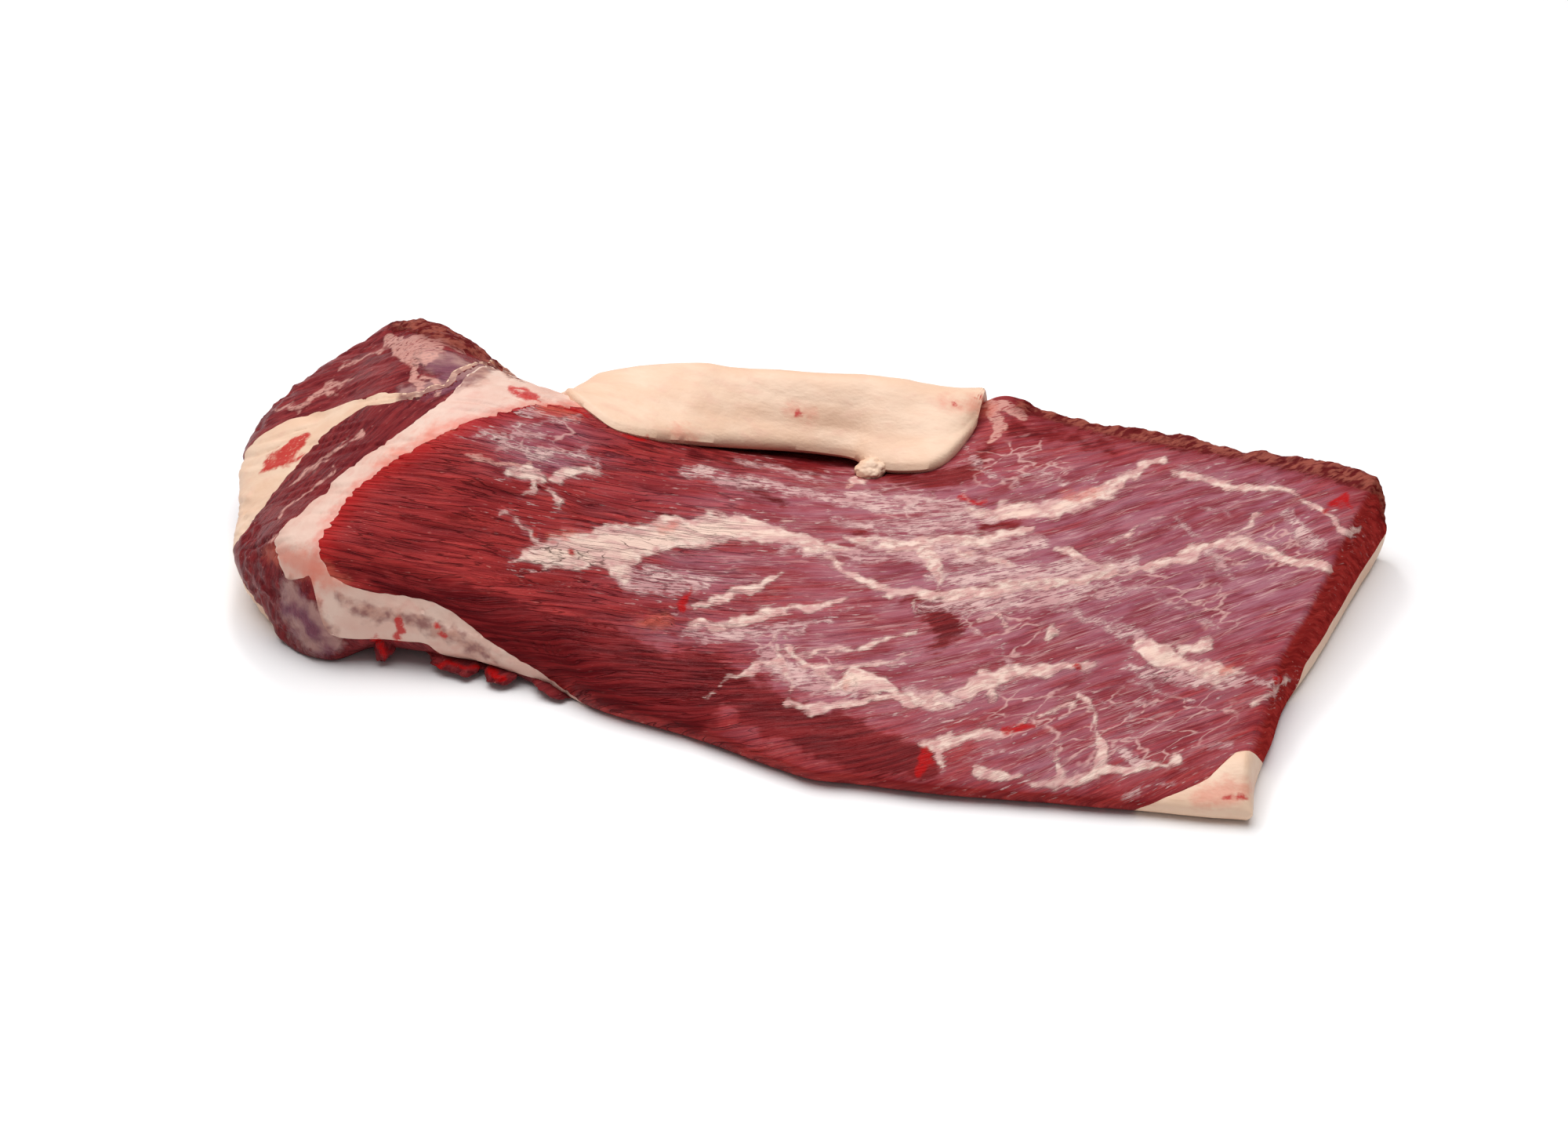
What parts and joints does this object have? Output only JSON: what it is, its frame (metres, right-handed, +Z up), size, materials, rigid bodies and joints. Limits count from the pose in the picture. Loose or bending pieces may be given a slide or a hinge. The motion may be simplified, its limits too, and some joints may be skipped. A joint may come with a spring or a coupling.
{
  "type": "raw beef brisket",
  "caption": "Whole raw brisket lying on its fat cap: thin flat end, thick rolled point end with its fat seam and lean layers showing, and a fat flap folded over the back edge.",
  "frame": {"origin": "on the surface the cut lies on, under the middle of its outline", "axes": "+X along the cut, from the thick point end to the thin flat end; +Y from the front edge to the back edge with the fat flap; +Z up"},
  "size_m": [0.514, 0.252, 0.0841],
  "materials": {
    "lean": "moist red lean with pale silverskin",
    "seam_fat": "white to pinkish seam fat",
    "point_lean": "moist dark red lean",
    "fat": "smooth cream fat",
    "outer_lean": "moist red lean, browned at its outer edge"
  },
  "bodies": {
    "root": {"flat_muscle": "lean", "seam_fat": "seam_fat", "point_muscle": "point_lean", "fat_cap": "fat", "outer_lean": "outer_lean"}
  },
  "joints": []
}
